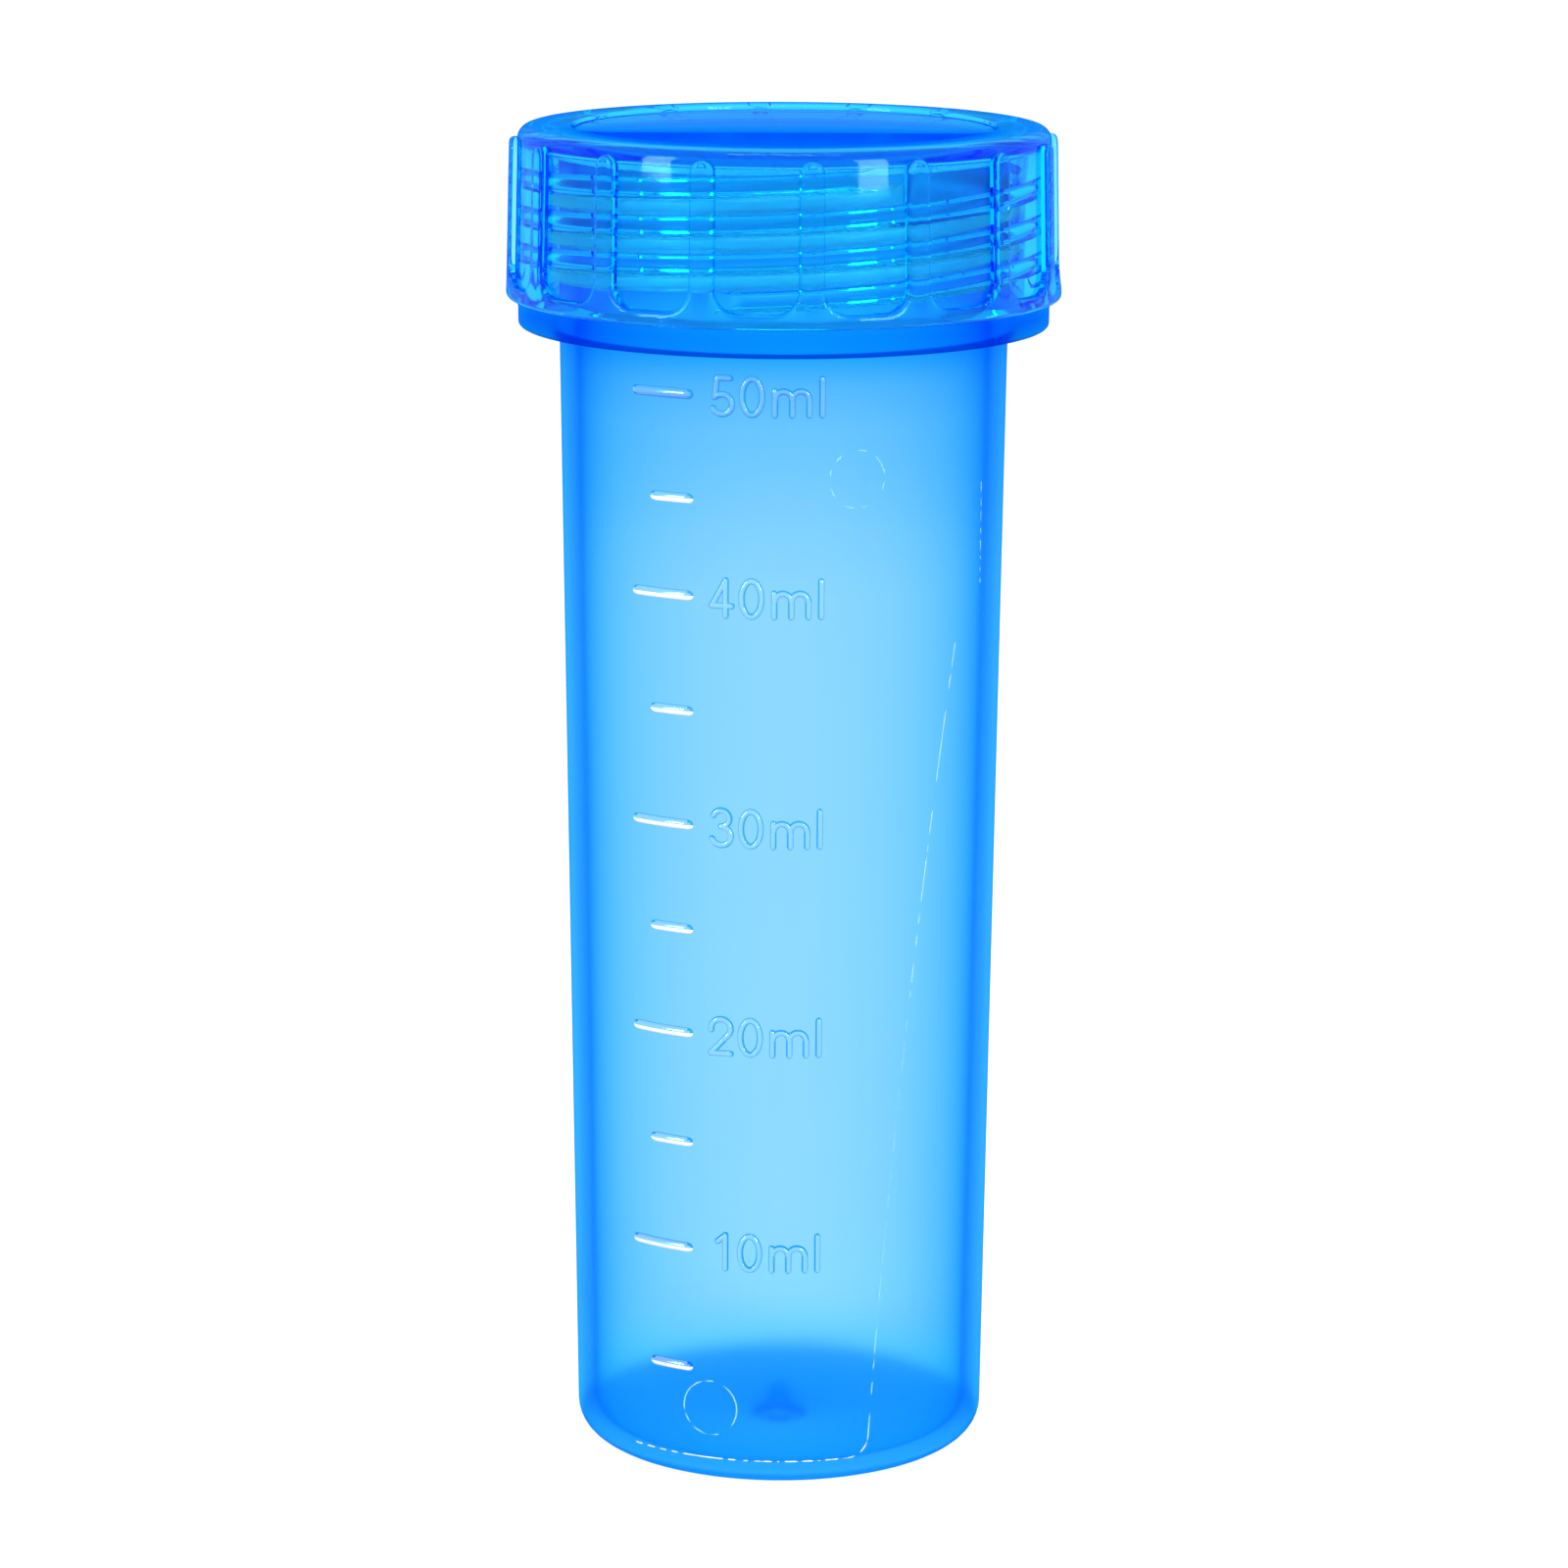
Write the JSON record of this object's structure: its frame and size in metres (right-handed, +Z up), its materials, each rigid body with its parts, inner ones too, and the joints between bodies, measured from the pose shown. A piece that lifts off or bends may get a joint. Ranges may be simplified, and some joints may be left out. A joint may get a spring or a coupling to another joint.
{
  "type": "test tube with screw cap",
  "caption": "Translucent blue plastic test tube with a flat base, tapered wall, raised volume marks, a collar and a ribbed screw cap over a sealing liner.",
  "frame": {"origin": "centre of the flat underside of the base", "axes": "+Z up along the tube's axis towards the cap; -Y is the side with the graduations; +X to their right"},
  "size_m": [0.0402, 0.0402, 0.098],
  "materials": {
    "frosted_plastic": "frosted translucent blue",
    "clear_plastic": "glossy see-through blue",
    "liner_plastic": "soft satin translucent"
  },
  "bodies": {
    "tube": {"tube": "frosted_plastic"},
    "liner": {"sealing_liner": "liner_plastic"},
    "cap": {"screw_cap": "clear_plastic"}
  },
  "joints": [
    {"name": "cap_lift", "type": "slide", "parent": "tube", "child": "liner", "axis": [0, 0, 1], "range_m": [0, 0.0106]},
    {"name": "cap_turn", "type": "hinge", "parent": "liner", "child": "cap", "pos_m": [0, 0, 0.0857], "axis": [0, 0, 1], "range_deg": [0, 720]}
  ],
  "couplings": [
    {"joint": "cap_lift", "follows": "cap_turn", "m_per_rad": 0.0008435}
  ]
}
